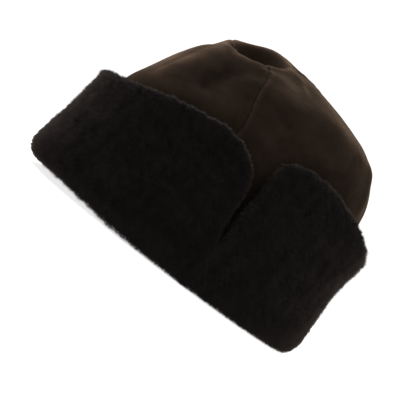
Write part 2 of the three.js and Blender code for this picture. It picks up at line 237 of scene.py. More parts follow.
def clipped_wool(name, root, tip):
    """Short dyed wool: dark roots, paler tips, and a shade that changes from lock to lock."""
    material, tree = new_material(name)
    near_tip = add_node(tree, "Attribute", attribute_name="near_tip").outputs["Fac"]
    shade = add_node(tree, "Attribute", attribute_name="lock_shade").outputs["Fac"]
    lightened = add_node(tree, "Math", {0: near_tip, 1: shade}, operation="MULTIPLY")
    colour = add_node(
        tree,
        "MixRGB",
        {"Fac": lightened.outputs["Value"], "Color1": light_value(root), "Color2": light_value(tip)},
    )
    surface = add_node(
        tree,
        "BsdfPrincipled",
        {
            "Base Color": colour.outputs["Color"],
            "Roughness": 0.9,
            "Specular IOR Level": 0.05,
            "Sheen Weight": 0.18,
            "Sheen Roughness": 0.3,
            "Sheen Tint": light_value("#94806f"),
        },
    )
    add_node(tree, "OutputMaterial", {"Surface": surface.outputs["BSDF"]})
    return material


def wool_skin(name, colour_hex):
    """What is seen between the locks: the same wool, dense and dark, with its curl."""
    material, tree = new_material(name)
    place = add_node(tree, "TexCoord").outputs["Object"]
    curl = add_node(
        tree,
        "TexNoise",
        {"Vector": place, "Scale": 1 / (CURL * MM), "Detail": 4.0, "Roughness": 0.7},
    )
    bump = add_node(
        tree,
        "Bump",
        {"Strength": 0.8, "Distance": CURL_DEPTH * MM, "Height": curl.outputs["Fac"]},
    )
    surface = add_node(
        tree,
        "BsdfPrincipled",
        {
            "Base Color": light_value(colour_hex),
            "Roughness": 1.0,
            "Specular IOR Level": 0.05,
            "Normal": bump.outputs["Normal"],
        },
    )
    add_node(tree, "OutputMaterial", {"Surface": surface.outputs["BSDF"]})
    return material


locks_material = clipped_wool("clipped lambswool", root="#151212", tip="#221c1b")
lining_material = clipped_wool("clipped lambswool inside", root="#151212", tip="#221c1b")
skin_material = wool_skin("dense wool under the locks", "#110f0e")
print("materials:", locks_material.name, lining_material.name, skin_material.name)

# %% [markdown]
# From frame solid to soft skin
#
# A panel of sheepskin has no flat faces and no knife edges. It could be modelled afresh, but it would
# drift from the frame's sizes, so each piece starts from its own node. The node's mesh is copied, its
# loose triangles are merged and joined to four-sided faces, and its cut edges are kept sharp while it is
# subdivided smooth. Then it is rebuilt in small even squares, and relaxed a little, which rounds the cut
# edges to about a millimetre. Even squares are what the later vertex moves need.

# %% Skin helpers
MERGE_WITHIN = 0.01
PAIR_BEND = 50  # degrees that two triangles may bend and still be joined to one face
PAIR_SKEW = 120  # degrees that its corners may differ from square ones
CUT_EDGE = 55  # degrees: sharper edges of the solid are the hide's cut edges


def select_only(piece):
    """Nothing but this piece is selected, and it is the active one."""
    bpy.ops.object.select_all(action="DESELECT")
    piece.select_set(True)
    bpy.context.view_layer.objects.active = piece


def apply_modifier(piece, kind, **settings):
    """Adds a modifier and applies it at once, as by hand."""
    select_only(piece)
    bpy.ops.object.modifier_add(type=kind)
    modifier = piece.modifiers[-1]
    for name, value in settings.items():
        setattr(modifier, name, value)
    bpy.ops.object.modifier_apply(modifier=modifier.name)


def crease_cut_edges(piece):
    """Marks the cut edges so that subdividing keeps them sharp."""
    shape = bmesh.new()
    shape.from_mesh(piece.data)
    crease = shape.edges.layers.float.new("crease_edge")
    for edge in shape.edges:
        if edge.calc_face_angle(0) > math.radians(CUT_EDGE):
            edge[crease] = 1
    shape.to_mesh(piece.data)
    shape.free()


def soft_skin(node_name, piece_name, square, relaxing):
    """A smooth, evenly meshed copy of a frame solid, with squares of this size."""
    piece = bpy.data.objects.new(piece_name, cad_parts[node_name].data.copy())
    bpy.context.collection.objects.link(piece)
    piece.data.materials.clear()
    select_only(piece)
    bpy.ops.object.mode_set(mode="EDIT")
    bpy.ops.mesh.select_all(action="SELECT")
    bpy.ops.mesh.remove_doubles(threshold=MERGE_WITHIN * MM)
    bpy.ops.mesh.tris_convert_to_quads(
        face_threshold=math.radians(PAIR_BEND),
        shape_threshold=math.radians(PAIR_SKEW),
    )
    bpy.ops.object.mode_set(mode="OBJECT")
    crease_cut_edges(piece)
    apply_modifier(piece, "SUBSURF", levels=2, render_levels=2)
    apply_modifier(piece, "REMESH", mode="VOXEL", voxel_size=square * MM)
    apply_modifier(piece, "SMOOTH", factor=0.5, iterations=relaxing)
    return piece


# %% Reading and moving a skin's points
def points_of(piece):
    """The piece's vertices and vertex normals, in millimetres."""
    count = len(piece.data.vertices)
    points = np.empty(count * 3)
    normals = np.empty(count * 3)
    piece.data.vertices.foreach_get("co", points)
    piece.data.vertex_normals.foreach_get("vector", normals)
    return points.reshape(-1, 3) / MM, normals.reshape(-1, 3)


def face_corners(piece):
    """The vertex numbers at the four corners of each face: a rebuilt skin has only four-sided faces."""
    corners = np.empty(len(piece.data.loops), dtype=np.int32)
    piece.data.loops.foreach_get("vertex_index", corners)
    return corners.reshape(-1, 4)


def move_points(piece, points):
    """Puts the piece's vertices at these places, in millimetres."""
    piece.data.vertices.foreach_set("co", (points * MM).ravel())
    piece.data.update()


def unit(directions):
    """The same directions, each with the length of one."""
    return directions / np.linalg.norm(directions, axis=1)[:, None]


def smooth_step(value, low, high):
    """0 below low, 1 above high, and a soft rise between them."""
    t = np.clip((value - low) / (high - low), 0, 1)
    return t * t * (3 - 2 * t)


def blurred(piece, values, weight, times):
    """Values at the piece's points, each drawn towards the mean of its neighbours' by its weight."""
    ends = np.empty(len(piece.data.edges) * 2, dtype=np.int32)
    piece.data.edges.foreach_get("vertices", ends)
    ends = ends.reshape(-1, 2)
    values = np.array(values, dtype=float).reshape(len(piece.data.vertices), -1)
    weight = np.broadcast_to(np.reshape(weight, (-1, 1)), (len(values), 1))
    count = np.bincount(ends.ravel(), minlength=len(values))[:, None]
    for _ in range(times):
        total = np.zeros_like(values)
        np.add.at(total, ends[:, 0], values[ends[:, 1]])
        np.add.at(total, ends[:, 1], values[ends[:, 0]])
        values = values + weight * (total / count - values)
    return values


# %% Soft random waves
SINES = 12
PITCHES = (0.7, 1.4)  # shortest and longest, as shares of the wave's length
PEAK = 1.6  # the summed sines seldom pass this, once their number is divided out


def waves(points, length, seed):
    """A soft random field between about -1 and 1, whose bumps are this many millimetres apart."""
    draw = np.random.default_rng(seed)
    total = np.zeros(len(points))
    for _ in range(SINES):
        direction = draw.normal(size=3)
        direction /= np.linalg.norm(direction)
        pitch = length * draw.uniform(*PITCHES)
        total += np.sin(points @ direction * 2 * math.pi / pitch + draw.uniform(0, 2 * math.pi))
    return total / math.sqrt(SINES / 2) / PEAK


def layered_waves(points, layers, level=0):
    """Waves of several sizes on one level. Each layer has its height, its length and its seed."""
    return sum((height * waves(points, length, seed) for height, length, seed in layers), level)


# %% Measuring how far a piece is from its neighbours
FAR = 50.0  # stands for the distance of points with no neighbour in reach
TINY = 0.01  # no length is divided by less than this


def solid_tree(node_name):
    """A frame solid as a search tree, to measure how far a point is from it."""
    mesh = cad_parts[node_name].data
    corners = [vertex.co / MM for vertex in mesh.vertices]
    return BVHTree.FromPolygons(corners, [tuple(face.vertices) for face in mesh.polygons])


def way_to(trees, points, numbers, reach):
    """How far the points with these numbers are from the nearest solid, and in which direction."""
    distances = np.full(len(points), FAR)
    directions = np.zeros_like(points)
    for tree in trees:
        for i in numbers:
            place, _, _, distance = tree.find_nearest(Vector(points[i]), reach)
            if place is not None and distance < distances[i]:
                distances[i] = distance
                directions[i] = (np.array(place) - points[i]) / max(distance, TINY)
    return distances, directions


# %% [markdown]
# The crown's three panels
#
# The panels are sewn edge to edge with the allowance inside, so a seam is a thin crease. The allowance is
# pressed towards the side panel, which lifts that side to a soft roll, and the thread pulls small puckers
# across it. Between the seams the hide is limp: it has a few broad waves, and the lip of the dent is folded
# crisply. A bump in the material could draw that, but not in the outline or in the mesh, so the
# panels' own mesh is moved by rules, from how far each point lies from its neighbour panel. On the floor of
# the dent the three tips are drawn together to one point, as the last stitch does.

# %% The dent, and where the panels meet
GORES = ["crown_front_gore", "crown_left_gore", "crown_right_gore"]
DENT_MIDDLE = np.array([0, -35.6])  # seen from above
DENT_RADIUS = 23.0
DENT_EDGE = (-4, 2)  # from its floor to its outside, measured from that radius
DENT_HEIGHTS = (122, 132)  # nothing below the first belongs to the dent, and above the second all may
RIM_WIDTH = 3.0
RIM_SIDE = {"middle": 35, "slant": 0.5, "fade": (0, 12)}  # the near lip's side, where the rim isn't rolled

gore_trees = {name: solid_tree(name) for name in GORES}


def dent_parts(points):
    """How much each point lies high on the crown, in the dent, and on the dent's rolled rim."""
    from_dent = np.linalg.norm(points[:, :2] - DENT_MIDDLE, axis=1)
    high = smooth_step(points[:, 2], *DENT_HEIGHTS)
    in_dent = (1 - smooth_step(from_dent, *(DENT_RADIUS + edge for edge in DENT_EDGE))) * high
    rim = np.exp(-((from_dent - DENT_RADIUS) / RIM_WIDTH) ** 2) * high
    across = points[:, 0] - RIM_SIDE["slant"] * (points[:, 1] + RIM_SIDE["middle"])
    return high, in_dent, rim * (1 - smooth_step(across, *RIM_SIDE["fade"]))


def meeting_point():
    """Where the tips of the three panels meet on the floor of the dent, seen from above."""
    corners = [vertex.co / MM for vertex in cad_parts[GORES[0]].data.vertices]
    ways = [max(tree.find_nearest(corner)[3] for tree in gore_trees.values()) for corner in corners]
    return np.array(corners[int(np.argmin(ways))])[:2]


TIPS_MEET = meeting_point()
print("the tips meet at", TIPS_MEET.round(1))

# %% Seams
SEAM_GAP = 0.4  # between the frame's panels
SEAM_REACH = 12.0  # points further from the other panels aren't near a seam
SEAM_CLOSED = 0.8  # share of the gap that is closed, and in the dent all of it
MORE_IN_DENT = 0.2
DRAWN_IN = (0.7, 2.2)  # from the seam: points are drawn in fully, and not at all
TIP_PULL = 0.9
TIP_REACH = 1.8
ROLL_PLACE = 1.5  # from the seam to the top of the soft roll beside it
ROLL_WIDTH = 2.6
ROLL_RISE = {"crown_front_gore": 0.15, "crown_left_gore": 0.75, "crown_right_gore": 0.75}
STITCH = 5.5  # from one pucker to the next
PUCKER = 0.14
PUCKER_REACH = 4.5
TOP_SEAMS = {"heights": (120, 150), "slant": 0.7}  # on top, puckers are spaced along the seam's own run
FILLED_RISE = 0.45  # in the dent a seam is pulled flat, so its crease is filled
FILLED_WIDTH = 0.9


def sewn_together(points, to_seam, to_neighbour, high, in_dent):
    """The points with the seams drawn together to a crease, and the tips to one point."""
    closing = (to_seam - SEAM_GAP / 2) * (SEAM_CLOSED + MORE_IN_DENT * in_dent)
    closing = closing * (1 - smooth_step(to_seam, *DRAWN_IN))
    points = points + to_neighbour * closing[:, None]
    from_tips = np.linalg.norm(points[:, :2] - TIPS_MEET, axis=1)
    pull = TIP_PULL * high * np.exp(-(from_tips / TIP_REACH) ** 2)
    points[:, :2] += (TIPS_MEET - points[:, :2]) * pull[:, None]
    return points


def seam_relief(node_name, points, to_seam, in_dent):
    """The soft roll beside each seam, and how far roll, puckers and filled creases raise each point."""
    roll = ROLL_RISE[node_name] * np.exp(-((to_seam - ROLL_PLACE) / (ROLL_WIDTH / 2)) ** 2)
    on_top = smooth_step(points[:, 2], *TOP_SEAMS["heights"])
    along = points[:, 2] + TOP_SEAMS["slant"] * np.abs(points[:, 1]) * on_top
    pucker = PUCKER * np.sin(along * 2 * math.pi / STITCH) * np.exp(-(to_seam / PUCKER_REACH) ** 2)
    filled = FILLED_RISE * in_dent * np.exp(-(to_seam / FILLED_WIDTH) ** 2)
    return roll, (roll + pucker) * (1 - in_dent) + filled


# %% [markdown]
# Folds and limp waves
#
# A hat like this is folded by the hand that holds it, so its folds have no pattern. Sculpting could make
# them, but a short list says more clearly what is where: each fold is a line on the suede's face, in
# millimetres, that rises or sinks by so much, and gets so much painted highlight, or painted shade where
# that number is below zero. The ends fade out.

# %% Folds in the suede
# In each fold, the share after its width is painted highlight along the fold, or painted shade below zero.
FOLDS = {
    "front ridge": {
        "rise": 1.9, "width": 5.0, "wear_and_painted_light": 0.6,
        "line": [(6, -60, 142), (8, -66, 135), (11, -76, 123), (10, -88, 104), (7, -96, 88)],
    },
    "hollow beside the front ridge": {
        "rise": -3.0, "width": 9.0, "wear_and_painted_light": -0.1,
        "line": [(26, -52, 136), (31, -61, 125), (34, -71, 112), (35, -79, 98)],
    },
    "near lip of the dent": {
        "rise": 1.2, "width": 2.5, "wear_and_painted_light": 0.4,
        "line": [
            (-14, -56, 146), (-6, -58, 143), (14, -57, 139), (24, -51, 141), (27, -42, 144), (24, -29, 150),
            (20, -18, 156),
        ],
    },
    "fold that runs from the dent": {
        "rise": 0.9, "width": 3.2, "wear_and_painted_light": 0.2,
        "line": [(18, -26, 154), (21, -17, 156), (30, -13, 153), (42, -14, 148), (52, -16, 142)],
    },
    "shoulder": {
        "rise": 0.5, "width": 8.0, "wear_and_painted_light": 0,
        "line": [(48, -16, 146), (56, -3, 143), (62, 14, 140), (61, 36, 138), (54, 55, 135)],
    },
    "back ridge": {
        "rise": 2.2, "width": 8.0, "wear_and_painted_light": 0,
        "line": [(43, 56, 142), (50, 62, 134), (55, 65, 122), (59, 68, 104)],
    },
}
FOLD_FADE = 0.3  # share of a fold's length over which each end fades
LIMP_LAYERS = [(0.5, 42, 3), (0.1, 17, 4), (0.03, 6, 5)]
LIMP_FROM_SEAM = (0, 6)
LIMP_HEIGHTS = (58, 70)  # the panels' lower edge, where they are sewn to the cuff, isn't limp


def fold_rise(points):
    """How far the folds raise or sink each point, and how much painted highlight or painted shade they give
    it.
    """
    total = np.zeros(len(points))
    pale = np.zeros(len(points))
    for fold in FOLDS.values():
        line = np.array(fold["line"], dtype=float)
        steps = np.linalg.norm(np.diff(line, axis=0), axis=1)
        done = 0.0
        nearest = np.full(len(points), np.inf)
        place = np.zeros(len(points))
        for start, end, step in zip(line[:-1], line[1:], steps):
            share = np.clip((points - start) @ (end - start) / step ** 2, 0, 1)
            off = np.linalg.norm(points - start - share[:, None] * (end - start), axis=1)
            closer = off < nearest
            nearest = np.where(closer, off, nearest)
            place = np.where(closer, (done + share * step) / steps.sum(), place)
            done += step
        faded = smooth_step(place, 0, FOLD_FADE) * smooth_step(1 - place, 0, FOLD_FADE)
        strength = np.exp(-(nearest / fold["width"]) ** 2) * faded
        total += fold["rise"] * strength
        pale += fold["wear_and_painted_light"] * strength
    return total, pale


def limp_waves(points, to_seam, in_dent):
    """Broad waves in the hide, away from the seams, the panels' lower edge and the dent."""
    limp = layered_waves(points, LIMP_LAYERS) * smooth_step(to_seam, *LIMP_FROM_SEAM)
    return limp * smooth_step(points[:, 2], *LIMP_HEIGHTS) * (1 - in_dent)


# %% Where the suede shows wear, painted highlight and painted shade
LIT_FRONT_FROM = (-75, -40)  # degrees round from the front's middle: where the painted highlight on the front sets in
LIT_FRONT_TO = (-10, 10)  # and where it fades
LIT_FRONT_HEIGHTS = (88, 108)
LESS_LIT_FRONT_ABOVE = (122, 142)
LESS_LIT_FRONT = 0.6
PATCHES = [(0.2, 16, 6), (0.1, 6, 7)]
PATCH_LEVEL = 0.85
BRUSHED = [(0.03, 30, 8), (0.02, 9, 9)]
BRUSHED_LEVEL = 0.08
PAINTED_SHADE_HEIGHTS = (68, 94)  # painted shade behind the flaps: full below the first height, none above the second
# Weights: painted highlight on the front, the dent's rim and the seams' rolls; painted shade behind the
# flaps
WEAR_AND_PAINTED_LIGHT_BY = {"front_highlight": 0.85, "rim": 0.35, "roll": 0.2, "shade_behind_flaps": 0.12}


def wear_and_painted_light_share(points, pale, roll, rim, in_dent):
    """Worn colour from 0 to 1: patchy wear, painted highlight on folds, rims, rolls and the front, painted
    shade.
    """
    azimuth = np.degrees(np.arctan2(points[:, 0], -points[:, 1]))
    height = points[:, 2]
    # painted highlight down the front, towards the wearer's right, where light catches it
    lit_front = smooth_step(azimuth, *LIT_FRONT_FROM) * (1 - smooth_step(azimuth, *LIT_FRONT_TO))
    lit_front *= smooth_step(height, *LIT_FRONT_HEIGHTS) * (1 - LESS_LIT_FRONT * smooth_step(height, *LESS_LIT_FRONT_ABOVE))
    lit_front *= 1 - in_dent
    # painted highlight on folds, the dent's rim and the seams' rolls, and painted shade in the front hollow
    worn_and_lit = pale + WEAR_AND_PAINTED_LIGHT_BY["front_highlight"] * lit_front + WEAR_AND_PAINTED_LIGHT_BY["rim"] * rim + WEAR_AND_PAINTED_LIGHT_BY["roll"] * roll
    patchy = layered_waves(points, PATCHES, PATCH_LEVEL)
    brushed = layered_waves(points, BRUSHED, BRUSHED_LEVEL)
    # painted shade on the suede low down behind the flaps
    painted_shade_behind_flaps = 1 - smooth_step(height, *PAINTED_SHADE_HEIGHTS)
    return np.clip(brushed + worn_and_lit * patchy - WEAR_AND_PAINTED_LIGHT_BY["shade_behind_flaps"] * painted_shade_behind_flaps, 0, 1)


# %% Crown panels
GORE_SQUARE = 1.25
GORE_RELAXING = 2
CROWN_HEART = np.array([0, -30, 55])  # a point inside the head hollow: suede faces look away from it
FACES_OUT = (-4, 8)  # how far a face's plane lies from that point, on the wool side and on the suede side
WOOL_BELOW = 0.3  # faces that look out less than this wear the wool
RIM_RISE = 1.0  # of the rolled rim of the dent, on the side away from the near lip
RIM_SOFTENING = {"weight": 0.8, "from_seam": (0, 2), "times": 10}
GORE_WOOL = 1  # the wool's number among a panel's materials


def crown_panel(node_name):
    """One gore: a smooth skin with its seams, puckers, folds and limp waves."""
    piece = soft_skin(node_name, "suede_" + node_name, GORE_SQUARE, GORE_RELAXING)
    points, normals = points_of(piece)
    neighbours = [tree for name, tree in gore_trees.items() if name != node_name]
    to_seam, to_neighbour = way_to(neighbours, points, range(len(points)), SEAM_REACH)
    outside = smooth_step(np.einsum("ij,ij->i", normals, points - CROWN_HEART), *FACES_OUT)
    high, in_dent, rim = dent_parts(points)
    points = sewn_together(points, to_seam, to_neighbour, high, in_dent)
    roll, seams = seam_relief(node_name, points, to_seam, in_dent)
    fold, pale = fold_rise(points)
    rise = (seams + limp_waves(points, to_seam, in_dent) + fold + RIM_RISE * rim) * outside
    points = points + normals * rise[:, None]
    softened = RIM_SOFTENING["weight"] * rim * outside * smooth_step(to_seam, *RIM_SOFTENING["from_seam"])
    points = blurred(piece, points, softened, RIM_SOFTENING["times"])
    move_points(piece, points)
    # the paler colour: real wear and painted highlight, less where painted shade falls behind the flaps
    wear_and_painted_light = wear_and_painted_light_share(points, pale, roll, rim, in_dent) * outside
    piece.data.attributes.new("wear_and_painted_light", "FLOAT", "POINT").data.foreach_set("value", wear_and_painted_light)
    piece.data.materials.append(suede)
    piece.data.materials.append(skin_material)
    on_wool = outside[face_corners(piece)].mean(axis=1) < WOOL_BELOW
    piece.data.polygons.foreach_set("material_index", on_wool.astype(np.int32))
    select_only(piece)
    bpy.ops.object.shade_smooth()
    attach(piece, "root")
    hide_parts(node_name)
    print(piece.name, len(piece.data.polygons) * 2, "triangles")
    return piece


gore_pieces = [crown_panel(name) for name in GORES]

# %% [markdown]
# The cuff's skins
#
# Each cuff piece is one hide bent to a U: its wool looks into the hat, out under the rim and out of the
# flap, and its suede lies hidden in the slot between wall and flap. The locks could stand on the solid as
# it is, but the frame's solid is as thick as hide and wool together. So on the wool side the skin is drawn
# in by the depth that the locks will stand on it. Along the flaps' top edges the wool is clipped shorter,
# so there the hide stands higher. Where the two pieces lie against each other, the skin is drawn over the
# joint instead.

# %% The body wall and the slot behind the flaps
SEAM_TOP = 58  # the body wall is sewn to the crown here
RIM_HALF_WIDTH = 90
RIM_HALF_LENGTH = 109
RIM_MIDDLE_Y = -1.15
WALL_LEAN = 8  # inwards, from the rim to the wall's top
SLOT_FLOOR = 9
INTO_SLOT = 0.75  # how squarely a face looks across the slot, where 1 is straight
ABOVE_WALL = 1  # this and the next two are margins round the wall, for points that lie on it
BEHIND_WALL = 1.5
BEFORE_WALL = 1.6


def out_from_rim(points):
    """How far points lie outside the oval of the body wall's rim, in millimetres."""
    x = points[:, 0]
    y = points[:, 1] - RIM_MIDDLE_Y
    share = np.hypot(x / RIM_HALF_WIDTH, y / RIM_HALF_LENGTH)
    return (share - 1) * np.hypot(x, y) / np.maximum(share, TINY)


def wall_face(points):
    """How far outside that oval the wall's outer face lies at the points' heights."""
    return -WALL_LEAN * points[:, 2] / SEAM_TOP


def facing_out(points, normals):
    """How squarely each face looks away from the hat's axis, from 1 to -1."""
    radial = unit(points[:, :2] - [0, RIM_MIDDLE_Y])
    return np.einsum("ij,ij->i", normals[:, :2], radial)


def hide_side(points, normals):
    """1 in the slot between body wall and flap, where the hide's suede side shows, and 0 on the wool."""
    facing = facing_out(points, normals)
    out = out_from_rim(points)
    beyond_wall = (points[:, 2] > SEAM_TOP + ABOVE_WALL) | (out > wall_face(points) - BEHIND_WALL)
    flap_back = (facing < -INTO_SLOT) & beyond_wall
    wall_front = (facing > INTO_SLOT) & (out < wall_face(points) + BEFORE_WALL)
    return ((flap_back | wall_front) & (points[:, 2] > SLOT_FLOOR)).astype(float)


# %% The joint between the two cuff pieces
JOINT_REACH = 20.0
JOINT_AZIMUTHS = (55, 100)  # degrees from the front to either side: both joints lie between them
ON_WALL = 2.0  # points less than this outside the wall's face belong to the wall, others to the flap
WALL_JOINT_TOP = SEAM_TOP + 2
NOTCH_TOP = 34  # below this the two flaps touch, and the wool closes over the joint
JOINT_FADE = (0, 8)  # above the joint's top
TOUCHING = (1.2, 5.0)  # from the other piece: the skin isn't drawn in here
CLOSING = (1.0, 3.0)  # from the other piece: the skin is drawn over to it
CLOSED_SHARE = 0.8


def way_to_other(points, other_name):
    """How far each point is from the other cuff piece, near the joints, and in which direction."""
    azimuth = np.degrees(np.arctan2(np.abs(points[:, 0]), -points[:, 1]))
    near_joint = np.flatnonzero((azimuth > JOINT_AZIMUTHS[0]) & (azimuth < JOINT_AZIMUTHS[1]))
    return way_to([solid_tree(other_name)], points, near_joint, JOINT_REACH)


def closed_joint(points, other_name):
    """How much each point touches the other cuff piece, and the way that it is drawn over to it."""
    to_other, towards_other = way_to_other(points, other_name)
    on_wall = out_from_rim(points) < wall_face(points) + ON_WALL
    joint_top = np.where(on_wall, WALL_JOINT_TOP, NOTCH_TOP)
    below_top = 1 - smooth_step(points[:, 2] - joint_top, *JOINT_FADE)
    touching = (1 - smooth_step(to_other, *TOUCHING)) * below_top
    closing = CLOSED_SHARE * to_other * (1 - smooth_step(to_other, *CLOSING)) * below_top
    return touching, towards_other * closing[:, None]


# %% Cuff skins
CUFF_SQUARE = 1.9
CUFF_RELAXING = 3
SUEDE_BLUR = 3  # rounds of blurring, from the suede side to the wool side
WOOL_DEPTH = 2.4
TUFTS = [(0.5, 9, 11), (0.35, 4.5, 12)]
TOP_EDGE = (0.1, 0.7)  # a face's upward look, where 1 is straight up: off the flaps' top edges, and on them
EDGE_RISE = 1.5  # of the hide along the top edges, under shorter wool
EDGE_SINK = 0.8  # of its suede side there, so that the bare hide doesn't show over the wool
NOT_DRAWN_IN = 0.9  # share of the drawing in that is left out at the joint
OFF_FLOOR = 1.0
CUFF_WOOL = 0  # the wool's number among a cuff piece's materials


def cuff_skin(node_name, other_name):
    """One cuff piece without its locks: suede in the slot, and dense wool drawn in everywhere else."""
    piece = soft_skin(node_name, "hide_" + node_name, CUFF_SQUARE, CUFF_RELAXING)
    points, normals = points_of(piece)
    suede_side = blurred(piece, hide_side(points, normals), 1.0, SUEDE_BLUR)[:, 0]
    tufts = layered_waves(points, TUFTS)
    edge = smooth_step(normals[:, 2], *TOP_EDGE)
    inward = (WOOL_DEPTH - tufts - EDGE_RISE * edge) * (1 - suede_side) + EDGE_SINK * suede_side * edge
    touching, over_joint = closed_joint(points, other_name)
    inward = inward * (1 - NOT_DRAWN_IN * touching)
    points = points - normals * inward[:, None] + over_joint
    points[:, 2] = np.maximum(points[:, 2], OFF_FLOOR)
    move_points(piece, points)
    piece.data.materials.append(skin_material)
    piece.data.materials.append(suede)
    on_suede = suede_side[face_corners(piece)].mean(axis=1) > 0.5
    piece.data.polygons.foreach_set("material_index", on_suede.astype(np.int32))
    select_only(piece)
    bpy.ops.object.shade_smooth()
    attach(piece, "root")
    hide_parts(node_name)
    print(piece.name, len(piece.data.polygons) * 2, "triangles")
    return piece


front_hide = cuff_skin("front_flap", "ear_and_nape_flap")
ear_hide = cuff_skin("ear_and_nape_flap", "front_flap")

# %% [markdown]
# Locks of wool
#
# Clipped wool stands in locks that lean with the nap, and lean together with their neighbours in a clump.
# On the flaps the nap is brushed down. A lock is made as a thin spike with three sides that starts just
# under the skin. One lock could be modelled and copied, but then all would be alike, and each copy would
# be an object. So all the spikes of a coat are written as one mesh. Their places are drawn at random with
# fixed seeds, evenly over the skin's area, so every run grows the same coat. The spikes take light as the
# coat's own surface does, a little rounded off, so the coat looks like one soft mass and not like wire.

# %% Places on the skin
FACING_BLUR = 30  # rounds of blurring that make the coat face as one soft mass, rounder than the hide
HIDE_FACING = 0.2  # how much of the hide's own facing is left in it


def skin_samples(piece, material_index, amount, draw):
    """Random places on the faces that wear one material: points, normals, and how the coat faces there."""
    points, normals = points_of(piece)
    worn_and_lit = np.empty(len(piece.data.polygons), dtype=np.int32)
    piece.data.polygons.foreach_get("material_index", worn_and_lit)
    corners = face_corners(piece)[worn_and_lit == material_index]
    a, b, c, d = (points[corners[:, k]] for k in range(4))
    area = np.linalg.norm(np.cross(c - a, d - b), axis=1) / 2
    count = int(amount * area.sum())
    face = draw.choice(len(corners), size=count, p=area / area.sum())
    s = draw.random(count)[:, None]
    t = draw.random(count)[:, None]
    weights = [(1 - s) * (1 - t), s * (1 - t), s * t, (1 - s) * t]
    place = sum(w * points[corners[face, k]] for k, w in enumerate(weights))
    normal = unit(sum(w * normals[corners[face, k]] for k, w in enumerate(weights)))
    soft = blurred(piece, normals, 1.0, FACING_BLUR)
    faces = sum(w * soft[corners[face, k]] for k, w in enumerate(weights)) + HIDE_FACING * normal
    return place, normal, unit(faces)


# %% How a lock leans, and how long it is
CLUMP_LEAN = 0.26
CLUMP_SEEDS = (21, 22, 23)
WIDE_LEAN = 0.15  # of many clumps together
WIDE_SEEDS = (24, 25, 26)
WIDE_CLUMPS = 6  # times as wide as a clump
OWN_LEAN = 0.14
LENGTHS = (0.85, 1.12)  # shortest and longest, as shares of the usual length
UNEVEN = 0.12  # share by which whole stretches of the coat are longer or shorter
UNEVEN_CLUMPS = 1.6
UNEVEN_SEED = 27
SHORTER_AT_EDGE = 0.5
STRAY_SHARE = 0.03  # of the locks are longer and thinner, and make the outline fuzzy
STRAY_LENGTHS = (1.2, 1.7)
STRAY_WIDTH = 0.6


def lock_directions(place, normal, nap_down, clump, draw):
    """Out of the skin, down with the nap, aside with the clump, and a little by each lock's own will."""
    lean = np.stack([waves(place, clump, seed) for seed in CLUMP_SEEDS], axis=1)
    wide_lean = np.stack([waves(place, WIDE_CLUMPS * clump, seed) for seed in WIDE_SEEDS], axis=1)
    scatter = draw.normal(scale=OWN_LEAN, size=(len(place), 3))
    return unit(normal + [0.0, 0.0, -nap_down] + CLUMP_LEAN * lean + WIDE_LEAN * wide_lean + scatter)


def lock_sizes(place, normal, length, width, clump, draw):
    """Each lock's length and width: shorter at the flaps' top edges, and a few long thin strays."""
    count = len(place)
    stretches = 1 + UNEVEN * waves(place, UNEVEN_CLUMPS * clump, UNEVEN_SEED)
    reach = length * draw.uniform(*LENGTHS, count) * stretches
    reach *= 1 - SHORTER_AT_EDGE * smooth_step(normal[:, 2], *TOP_EDGE)
    stray = draw.random(count) < STRAY_SHARE
    reach = np.where(stray, reach * draw.uniform(*STRAY_LENGTHS, count), reach)
    return reach[:, None], np.where(stray, STRAY_WIDTH * width, width)[:, None]


# %% Spikes, and one mesh of them
LOCK_SIDES = 3
LOCK_CORNERS = LOCK_SIDES + 1
ROOT_DEPTH = 0.5  # under the skin
OWN_FACING = 0.3  # how much a lock's own roundness adds to the way that the coat faces
SHADE_LEVEL = 0.5
SHADE_PATCH = (0.25, 18, 28)
OWN_SHADE = 0.14
LOOKS_UP = (0.2, 0.8)  # the upward look of a place, from 0 to 1, over which its locks get painted shade
PAINTED_SHADE_ON_TOP = 0.5
PALEST = 1.2


def spikes(place, normal, direction, reach, width, draw):
    """The corners of each spike, three at its root and then its tip, and the middle of the spike."""
    tips = place + direction * reach
    side = unit(np.cross(direction, draw.normal(size=place.shape)))
    other = np.cross(direction, side)
    roots = place - normal * ROOT_DEPTH
    rings = []
    for k in range(LOCK_SIDES):
        turn = 2 * math.pi * k / LOCK_SIDES
        rings.append(roots + (side * math.cos(turn) + other * math.sin(turn)) * width / 2)
    vertices = np.stack(rings + [tips], axis=1).reshape(-1, 3)
    vertices[:, 2] = np.maximum(vertices[:, 2], 0.0)
    return vertices, (roots + tips) / 2


def spike_mesh(name, vertices):
    """A mesh of spikes that are open at the root, which is hidden in the skin."""
    count = len(vertices) // LOCK_CORNERS
    first = np.arange(count)[:, None, None] * LOCK_CORNERS
    pattern = np.array([[k, (k + 1) % LOCK_SIDES, LOCK_SIDES] for k in range(LOCK_SIDES)])
    triangles = (first + pattern[None]).reshape(-1, 3)
    mesh = bpy.data.meshes.new(name)
    mesh.vertices.add(len(vertices))
    mesh.vertices.foreach_set("co", (vertices * MM).ravel())
    mesh.loops.add(triangles.size)
    mesh.loops.foreach_set("vertex_index", triangles.ravel())
    mesh.polygons.add(len(triangles))
    mesh.polygons.foreach_set("loop_start", np.arange(0, triangles.size, 3))
    mesh.update(calc_edges=True)
    return mesh


def lock_shades(place, normal, draw):
    """How pale each lock's tip is: in soft patches, a little by itself, and with painted shade on top edges.
    """
    height, length, seed = SHADE_PATCH
    own = draw.normal(scale=OWN_SHADE, size=len(place))
    shade = SHADE_LEVEL + height * waves(place, length, seed) + own
    # painted shade: tips on the top edges, which face the light from above, are darkened
    return np.clip(shade - PAINTED_SHADE_ON_TOP * smooth_step(normal[:, 2], *LOOKS_UP), 0, PALEST)


